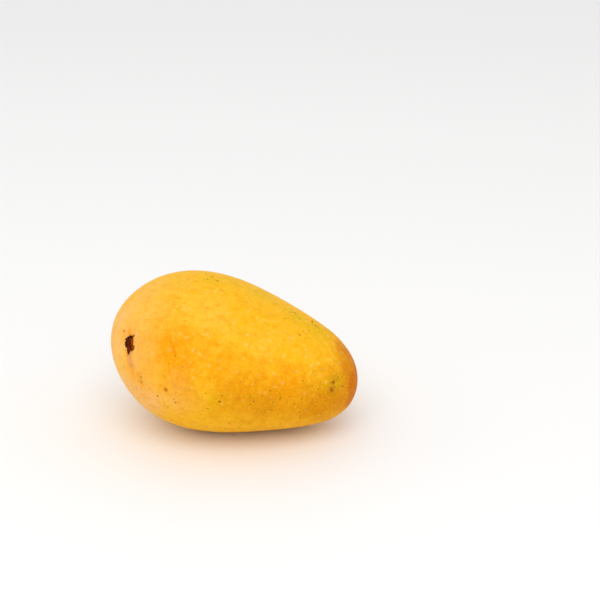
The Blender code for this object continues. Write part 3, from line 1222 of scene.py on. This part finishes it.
def scarred(ground, skin, colour, stub_radius):
    """Adds streaks, some of them painted shade and highlight near the stalk, scars, specks and the corky ring
    round the stalk. The second value is where they are.
    """
    layers = []
    for name, lines, soft, broken in STREAK_LAYERS:
        whole = UNBROKEN + ground.mottle * broken
        layers.append((ground.streaks(lines, soft) * whole, getattr(skin, name)))

    outside, across, _ = outside_stub(ground.rough_place, ground.stalk, stub_radius)
    width = across.ramp(*CORK_SIDES).between(*CORK_WIDTHS)
    cork = (outside / width).ramp(*CORK_EDGE) * ground.from_stalk.ramp(*CORK_REACH)
    layers.append((cork * CORK_STRENGTH, skin.cork))
    elsewhere = {
        "olive": ground.streaks(OLIVE_STREAKS, OLIVE_STREAK_SOFTNESS),
        "brown": ground.pores(*SPECKS) * ground.along("Y").ramp(*BACK_SIDE),
    }
    worn = cork
    for name, marks, soft, strength in SPOT_LAYERS:
        spot = ground.spots(marks, soft)
        if name in elsewhere:
            spot = spot.max(elsewhere[name])
        layers.append((spot * strength, getattr(skin, name)))
        worn = worn + spot
    return laid_over(colour, layers), worn.clamped()


def skin_material(skin, at, stalk, stub_radius):
    """Waxy golden skin: zones of colour with painted sheen, highlight and shade among them, mottling, pale
    and dark pores, greener patches and scars.
    """
    material = bpy.data.materials.new("mango_skin")
    material.use_nodes = True
    tree = material.node_tree
    shader = tree.nodes["Principled BSDF"]
    ground = SkinGround(tree, at, stalk)
    colour, greener = ripened(ground, skin)
    colour, pale_pores = pored(ground, skin, colour, greener)
    colour, worn = scarred(ground, skin, colour, stub_radius)
    tree.links.new(colour.socket, shader.inputs["Base Color"])
    roughness = skin.roughness + (ground.mottle - MIDDLE) * ROUGH_BY_MOTTLE + pale_pores * ROUGH_BY_PORES
    roughness = roughness + worn * ROUGH_BY_SCARS
    tree.links.new(roughness.socket, shader.inputs["Roughness"])
    relief = ground.grain * RELIEF_OF_GRAIN + ground.mottle * RELIEF_OF_MOTTLE
    relief = relief + pale_pores * RELIEF_OF_PORES + worn * RELIEF_OF_SCARS
    bump = relief.node("ShaderNodeBump", None, {"Height": relief, **SKIN_BUMP})
    tree.links.new(bump.socket, shader.inputs["Normal"])
    shader.inputs["Subsurface Weight"].default_value = skin.glow
    shader.inputs["Subsurface Radius"].default_value = GLOW_DEPTHS
    shader.inputs["Subsurface Scale"].default_value = 1.0
    shader.inputs["Specular IOR Level"].default_value = skin.gloss
    return material


def stub_material(stub, stalk):
    """Dry, broken wood: dark pits and rim, lighter fibre ends, redder on its near side."""
    material = bpy.data.materials.new("dry_stalk")
    material.use_nodes = True
    tree = material.node_tree
    shader = tree.nodes["Principled BSDF"]
    place = Wire(tree).node("ShaderNodeTexCoord", output="Object")
    lumps = place.noise(*LUMPS)
    fibre = place.noise(*FIBRES)
    outside, across, down = outside_stub(place, stalk, stub.radius)
    light = (lumps * LUMPS_SHARE + fibre * FIBRES_SHARE).ramp(*LIGHT_WOOD)
    dark_rim = outside.ramp(*DARK_RIM) * across.ramp(*DARK_SIDE)
    near_side = across.ramp(*NEAR_ACROSS) * down.ramp(*NEAR_DOWN) * outside.ramp(*NEAR_RIM)
    fleck = place.noise(*FLECKS, offset=FLECKS_SHIFT).ramp(*FLECK_SHARE)
    layers = (
        (light * (1.0 - dark_rim * DARK_RIM_STRENGTH), stub.light),
        (near_side * (NEAR_LEAST + lumps * NEAR_BY_LUMPS), stub.near),
        (fleck * FLECK_STRENGTH, stub.fleck),
    )
    tree.links.new(laid_over(rgba(stub.dark), layers).socket, shader.inputs["Base Color"])
    roughness = WOOD_ROUGHNESS + fibre * ROUGH_BY_FIBRES
    tree.links.new(roughness.socket, shader.inputs["Roughness"])
    bump = fibre.node("ShaderNodeBump", None, {"Height": fibre, **WOOD_BUMP})
    tree.links.new(bump.socket, shader.inputs["Normal"])
    shader.inputs["Specular IOR Level"].default_value = WOOD_GLOSS
    return material


def ragged(points, kinds):
    """Noises added up, each with the size of its features, its height and its seed."""
    return sum(gentle_noise(points, size, seed) * height for size, height, seed in kinds)


def add_plug(bm, stub, floor, top):
    """The woody plug, in mm: a wall with the stub's outline and a dished, pitted, ragged top."""
    turns = np.arange(PLUG_SIDES) * math.tau / PLUG_SIDES
    outline = stub_outline(turns, stub.radius) * TO_MM - PLUG_INSET
    shares = np.concatenate((np.ones(WALL_RINGS), np.linspace(1.0, INNERMOST_RING, stub.rows)))
    wall = np.linspace(floor - PLUG_DEPTH, top - WALL_DROP, WALL_RINGS)
    around = np.stack((np.cos(turns), np.sin(turns), np.zeros(PLUG_SIDES)), -1)
    rows = []
    for number, share in enumerate(shares):
        ring = around * (outline * share)[:, None]
        if number < WALL_RINGS:
            ring[:, 2] = wall[number]
        else:
            rim = falloff(share - RIM_SHARE, RIM_SPREAD)
            pitted = ragged(ring, PITS) * (RAGGED_DISH + RAGGED_RIM * rim)
            ring[:, 2] = top + RIM_RISE - DISH_DEPTH * (1 - rim) + pitted
        rows.append([bm.verts.new(point) for point in ring])
    for lower, upper in zip(rows, rows[1:]):
        for i in range(PLUG_SIDES):
            j = (i + 1) % PLUG_SIDES
            bm.faces.new((lower[i], lower[j], upper[j], upper[i]))
    bm.faces.new(rows[0][::-1])
    bm.faces.new(rows[-1])


def add_splinters(bm, stub, top):
    """Torn ends of fibre bundles, in mm: most stand on the rim, a few inside it."""
    chance = np.random.default_rng(stub.seed)
    for number in range(stub.splinters):
        turn = chance.uniform(0, math.tau)
        on_rim = number % INNER_EVERY > 0
        shares, heights, root = RIM_SPLINTERS if on_rim else INNER_SPLINTERS
        reach = float(stub_outline(np.array([turn]), stub.radius)[0]) * TO_MM * chance.uniform(*shares)
        thick = chance.uniform(*SPLINTER_THICKNESS)
        tall = chance.uniform(*heights)
        tilts = (chance.normal(0, SPLINTER_LEAN), chance.normal(0, SPLINTER_LEAN))
        lean = Euler((*tilts, turn)).to_matrix().to_4x4()
        foot = Vector((reach * math.cos(turn), reach * math.sin(turn), top - SPLINTER_FOOT))
        bmesh.ops.create_cone(
            bm,
            cap_ends=True,
            segments=SPLINTER_SIDES,
            radius1=thick * (1 + (1 - SPLINTER_TIP) * root / tall) if on_rim else thick * INNER_BASE,
            radius2=thick * SPLINTER_TIP,
            depth=tall + root,
            matrix=Matrix.Translation(foot) @ lean @ Matrix.Translation((0, 0, (tall - root) / 2)),
        )


def drop_loose(mesh):
    """Keeps only the largest of the mesh's bodies that aren't joined to each other."""
    bm = bmesh.new()
    bm.from_mesh(mesh)
    left = set(bm.verts)
    bodies = []
    while left:
        body = {left.pop()}
        edge = body
        while edge:
            edge = {link.other_vert(vert) for vert in edge for link in vert.link_edges} & left
            left -= edge
            body |= edge
        bodies.append(body)
    for body in sorted(bodies, key=len)[:-1]:
        bmesh.ops.delete(bm, geom=list(body), context="VERTS")
    bm.to_mesh(mesh)
    bm.free()


def fused(bm, name, voxel):
    """One closed skin round all of these bodies."""
    mesh = bpy.data.meshes.new(name)
    bm.to_mesh(mesh)
    bm.free()
    made = bpy.data.objects.new(name, mesh)
    bpy.context.scene.collection.objects.link(made)
    remesh = made.modifiers.new("fuse", "REMESH")
    remesh.mode = "VOXEL"
    remesh.voxel_size = voxel
    whole = bpy.data.meshes.new_from_object(made.evaluated_get(bpy.context.evaluated_depsgraph_get()))
    made.modifiers.clear()
    made.data = whole
    bpy.data.meshes.remove(mesh)
    drop_loose(whole)
    return made


class MANGO_OT_stub(bpy.types.Operator):
    """Adds the dry broken end of the stalk, in the cavity of the fruit"""

    bl_idname = "mango.stub"
    bl_label = "Add stalk stub"

    def execute(self, context):
        form = context.scene.mango_form
        stub = context.scene.mango_stub
        directions, _, _ = skin_rings(stub.radius)
        shift = resting_shift(marked_form(directions, form)[0])
        floor = -form.cavity_depth * TO_MM
        top = floor + stub.stands_proud * TO_MM
        bm = bmesh.new()
        add_plug(bm, stub, floor, top)
        add_splinters(bm, stub, top)
        made = fused(bm, "stalk_stub_wood", stub.voxel * TO_MM)
        mesh = made.data
        points = np.array([vertex.co for vertex in mesh.vertices])
        normals = np.array([vertex.normal for vertex in mesh.vertices])
        points = points + normals * (ragged(points, FRAYS) * (points[:, 2] > floor))[:, None]
        points = to_rest(STALK_POINT + (points / TO_MM) @ STALK_AXES, shift)
        mesh.vertices.foreach_set("co", points.ravel())
        mesh.update()
        mesh.shade_smooth()
        mesh.materials.append(stub_material(stub, stalk_place(shift)))
        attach(made, "root")
        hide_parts("stalk_stub")
        return {"FINISHED"}


def area_light(name, place, width, colour, power):
    data = bpy.data.lights.new(name, "AREA")
    data.shape = "DISK"
    data.size = width
    data.energy = power
    data.color = colour
    made = bpy.data.objects.new(name, data)
    bpy.context.scene.collection.objects.link(made)
    made.location = place
    made.rotation_euler = (Vector(LIGHT_AIM) - Vector(place)).to_track_quat("-Z", "Y").to_euler()


class MANGO_OT_stage(bpy.types.Operator):
    """Adds a pale floor, soft light and the camera"""

    bl_idname = "mango.stage"
    bl_label = "Add studio"

    def execute(self, context):
        stage = context.scene.mango_stage
        side = FLOOR_HALF_SIDE
        corners = ((-side, -side, 0), (side, -side, 0), (side, side, 0), (-side, side, 0))
        floor = mesh_object("studio_floor", corners, [(0, 1, 2, 3)])
        material = bpy.data.materials.new("studio_floor")
        material.use_nodes = True
        shader = material.node_tree.nodes["Principled BSDF"]
        shader.inputs["Base Color"].default_value = rgba(stage.floor)
        shader.inputs["Roughness"].default_value = FLOOR_ROUGHNESS
        floor.data.materials.append(material)

        area_light(*KEY_LIGHT, stage.key_power)
        area_light(*SIDE_LIGHT, stage.fill_power)
        world = bpy.data.worlds.new("studio")
        world.use_nodes = True
        background = world.node_tree.nodes["Background"]
        sky = Wire(world.node_tree).node("ShaderNodeTexCoord", output="Generated")
        height = sky.node("ShaderNodeSeparateXYZ", None, {"Vector": sky}, "Z")
        shade = height.ramp(0.0, SKY_BLEND).mix(rgba(stage.floor), rgba(WHITE))
        world.node_tree.links.new(shade.socket, background.inputs["Color"])
        background.inputs["Strength"].default_value = stage.ambient
        context.scene.world = world

        camera = bpy.data.objects.new("camera", bpy.data.cameras.new("camera"))
        context.scene.collection.objects.link(camera)
        place, turn = seen_from(stage)
        camera.matrix_world = Matrix.Translation(place) @ turn.to_4x4()
        camera.data.lens = stage.lens
        camera.data.sensor_width = SENSOR_WIDTH
        camera.data.clip_start = CLIP_START
        context.scene.camera = camera
        context.scene.view_settings.view_transform = "Standard"
        return {"FINISHED"}


class MANGO_PT_panel(bpy.types.Panel):
    """Lists what can be added"""

    bl_idname = "MANGO_PT_panel"
    bl_label = "Ripe mango"
    bl_space_type = "VIEW_3D"
    bl_region_type = "UI"
    bl_category = "Mango"

    def draw(self, context):
        layout = self.layout
        for operator in (MANGO_OT_skin, MANGO_OT_stub, MANGO_OT_stage):
            layout.operator(operator.bl_idname)
        for name in GROUPS:
            group = getattr(context.scene, name)
            box = layout.box()
            for prop in group.__annotations__:
                box.prop(group, prop)


GROUPS = {
    "mango_form": MangoForm,
    "mango_skin": MangoSkin,
    "mango_stub": MangoStub,
    "mango_stage": MangoStage,
}
CLASSES = (*GROUPS.values(), MANGO_OT_skin, MANGO_OT_stub, MANGO_OT_stage, MANGO_PT_panel)


def register():
    for kind in CLASSES:
        bpy.utils.register_class(kind)
    for name, kind in GROUPS.items():
        setattr(bpy.types.Scene, name, PointerProperty(type=kind))


def unregister():
    for name in GROUPS:
        delattr(bpy.types.Scene, name)
    for kind in reversed(CLASSES):
        bpy.utils.unregister_class(kind)


def main():
    register()
    bpy.ops.mango.skin()
    bpy.ops.mango.stub()
    bpy.ops.mango.stage()


if __name__ == "__main__":
    main()
